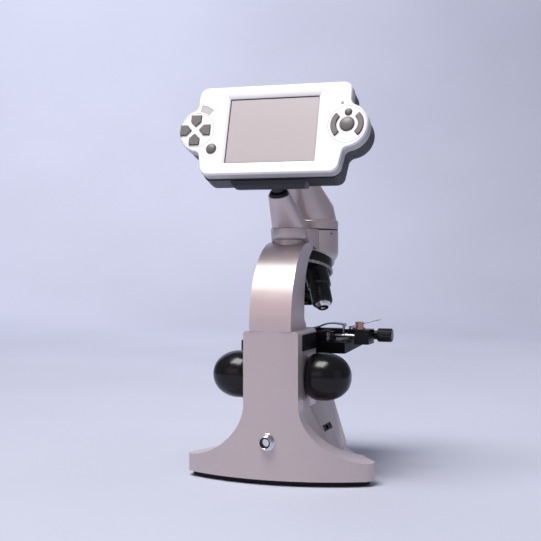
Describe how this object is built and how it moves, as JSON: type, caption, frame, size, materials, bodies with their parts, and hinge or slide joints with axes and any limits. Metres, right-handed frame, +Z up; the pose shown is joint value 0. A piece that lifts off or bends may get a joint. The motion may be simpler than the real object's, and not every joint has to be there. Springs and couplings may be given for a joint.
{
  "type": "microscope",
  "caption": "Upright digital microscope: C-shaped stand, focus knobs, mechanical stage, tilted objective turret and a swivelling head that carries a flat display with keys.",
  "frame": {"origin": "middle of the whole part's box at the level of the feet", "axes": "+Z up, +X to the left as seen from behind, where the display faces, -Y towards the front of the stage"},
  "size_m": [0.15, 0.1632, 0.3043],
  "materials": {
    "silver_paint": "satin metallic silver paint",
    "sole_black": "matt black moulding",
    "rubber": "matt black rubber",
    "chrome": "polished chrome plating",
    "inlet_plastic": "black moulded plastic",
    "board": "green lacquered circuit board",
    "lamp_glass": "frosted glass",
    "black_steel": "satin black coating",
    "knob_gloss": "polished black plastic",
    "steel": "turned steel",
    "stage_black": "black enamel",
    "lens_glass": "clear glass",
    "slide_black": "black anodised",
    "holder_silver": "nickel plated sheet",
    "copper": "copper plating",
    "objective_black": "satin black barrel",
    "ring_silver": "knurled bright aluminium",
    "charcoal_plastic": "charcoal moulded plastic",
    "front_white": "pearl white moulding",
    "screen": "unlit display panel",
    "key_grey": "dark grey keys",
    "plate_grey": "light grey inlay",
    "led": "milky lens"
  },
  "bodies": {
    "root": {"base_housing": "silver_paint", "base_sole": "sole_black", "rubber_feet": "rubber", "sole_screws": "steel", "inlet_body": "inlet_plastic", "inlet_nut": "chrome", "switch_bezel": "inlet_plastic", "lamp_board": "board", "lamp_window": "lamp_glass", "arm_casting": "silver_paint", "guide_rail": "black_steel", "nosepiece_base": "black_steel", "turret_pivot": "steel", "head_lock_screw": "chrome"},
    "power_switch": {"switch_slider": "inlet_plastic"},
    "focus": {"focus_shaft": "steel", "focus_knob_left": "knob_gloss", "focus_knob_right": "knob_gloss"},
    "stage": {"focus_rack": "steel", "stage_carrier": "black_steel", "stage_plate": "stage_black", "condenser_lens": "lens_glass", "diaphragm_screw": "steel", "carriage_rack": "slide_black"},
    "diaphragm": {"diaphragm_disc": "black_steel"},
    "carriage": {"carriage_box": "slide_black", "guide_rods": "chrome", "carriage_block": "slide_black", "holder_screws": "chrome"},
    "carriage_knob": {"y_knob": "knob_gloss"},
    "x_slide": {"cross_slide": "slide_black", "specimen_holder": "holder_silver"},
    "drive_knob": {"x_knob": "copper"},
    "finger": {"spring_finger": "holder_silver"},
    "turret": {"turret_disc": "black_steel", "turret_ring": "ring_silver", "low_objective": "objective_black", "middle_objective": "objective_black", "high_objective": "objective_black", "objective_tips": "chrome"},
    "head": {"head_housing": "silver_paint", "head_collar": "black_steel", "camera_module": "board", "relay_lens": "lens_glass", "display_bracket": "charcoal_plastic", "display_rear_shell": "charcoal_plastic", "display_front_shell": "front_white", "screen_panel": "screen", "display_board": "board", "status_led": "led", "light_plate": "plate_grey"},
    "key_up_body": {"key_up": "key_grey"},
    "key_left_body": {"key_left": "key_grey"},
    "key_down_body": {"key_down": "key_grey"},
    "key_right_body": {"key_right": "key_grey"},
    "round_button_body": {"round_button": "key_grey"},
    "main_button_body": {"main_button": "key_grey"},
    "arc_key_left_body": {"arc_key_left": "key_grey"},
    "arc_key_right_body": {"arc_key_right": "key_grey"},
    "small_button_body": {"small_button": "key_grey"}
  },
  "joints": [
    {"name": "switch_slide", "type": "slide", "parent": "root", "child": "power_switch", "axis": [0, 1, 0], "range_m": [-0.0036, 0.0036]},
    {"name": "stage_lift", "type": "slide", "parent": "root", "child": "stage", "axis": [0, 0, 1], "range_m": [-0.01, 0.006]},
    {"name": "focus_turn", "type": "hinge", "parent": "root", "child": "focus", "pos_m": [0, 0.0437, 0.0806], "axis": [1, 0, 0], "range_deg": [-45, 73]},
    {"name": "diaphragm_turn", "type": "hinge", "parent": "stage", "child": "diaphragm", "pos_m": [0, -0.0453, 0.1], "axis": [0, 0, 1], "continuous": true},
    {"name": "carriage_move", "type": "slide", "parent": "stage", "child": "carriage", "axis": [0, 1, 0], "range_m": [-0.012, 0.006]},
    {"name": "carriage_knob_turn", "type": "hinge", "parent": "carriage", "child": "carriage_knob", "pos_m": [-0.068, -0.02, 0.109], "axis": [1, 0, 0], "range_deg": [-118, 232]},
    {"name": "cross_move", "type": "slide", "parent": "carriage", "child": "x_slide", "axis": [1, 0, 0], "range_m": [-0.005, 0.005]},
    {"name": "drive_knob_turn", "type": "hinge", "parent": "carriage", "child": "drive_knob", "pos_m": [-0.05, -0.0085, 0.116], "axis": [0, 0, 1], "range_deg": [-98, 98]},
    {"name": "finger_turn", "type": "hinge", "parent": "x_slide", "child": "finger", "pos_m": [-0.041, -0.0128, 0.116], "axis": [0, 0, 1], "range_deg": [-15, 0], "stiffness_Nm_per_rad": 0.02, "springref_deg": 11.46},
    {"name": "turret_turn", "type": "hinge", "parent": "root", "child": "turret", "pos_m": [0, -0.0152, 0.1626], "axis": [0, 0.342, -0.9397], "continuous": true},
    {"name": "head_turn", "type": "hinge", "parent": "root", "child": "head", "pos_m": [0, -0.0293, 0.196], "axis": [0, 0, 1], "range_deg": [-180, 180]},
    {"name": "key_up_press", "type": "slide", "parent": "head", "child": "key_up_body", "axis": [0, -0.9542, -0.299], "range_m": [0, 0.0008], "stiffness_N_per_m": 600, "springref_m": -0.0008},
    {"name": "key_left_press", "type": "slide", "parent": "head", "child": "key_left_body", "axis": [0, -0.9542, -0.299], "range_m": [0, 0.0008], "stiffness_N_per_m": 600, "springref_m": -0.0008},
    {"name": "key_down_press", "type": "slide", "parent": "head", "child": "key_down_body", "axis": [0, -0.9542, -0.299], "range_m": [0, 0.0008], "stiffness_N_per_m": 600, "springref_m": -0.0008},
    {"name": "key_right_press", "type": "slide", "parent": "head", "child": "key_right_body", "axis": [0, -0.9542, -0.299], "range_m": [0, 0.0008], "stiffness_N_per_m": 600, "springref_m": -0.0008},
    {"name": "round_button_press", "type": "slide", "parent": "head", "child": "round_button_body", "axis": [0, -0.9542, -0.299], "range_m": [0, 0.0008], "stiffness_N_per_m": 600, "springref_m": -0.0008},
    {"name": "main_button_press", "type": "slide", "parent": "head", "child": "main_button_body", "axis": [0, -0.9542, -0.299], "range_m": [0, 0.0008], "stiffness_N_per_m": 600, "springref_m": -0.0008},
    {"name": "arc_key_left_press", "type": "slide", "parent": "head", "child": "arc_key_left_body", "axis": [0, -0.9542, -0.299], "range_m": [0, 0.0008], "stiffness_N_per_m": 600, "springref_m": -0.0008},
    {"name": "arc_key_right_press", "type": "slide", "parent": "head", "child": "arc_key_right_body", "axis": [0, -0.9542, -0.299], "range_m": [0, 0.0008], "stiffness_N_per_m": 600, "springref_m": -0.0008},
    {"name": "small_button_press", "type": "slide", "parent": "head", "child": "small_button_body", "axis": [0, -0.9542, -0.299], "range_m": [0, 0.0008], "stiffness_N_per_m": 600, "springref_m": -0.0008}
  ],
  "couplings": [
    {"joint": "focus_turn", "follows": "stage_lift", "rad_per_m": -125},
    {"joint": "carriage_knob_turn", "follows": "carriage_move", "rad_per_m": -333.33},
    {"joint": "drive_knob_turn", "follows": "cross_move", "rad_per_m": 333.33}
  ]
}
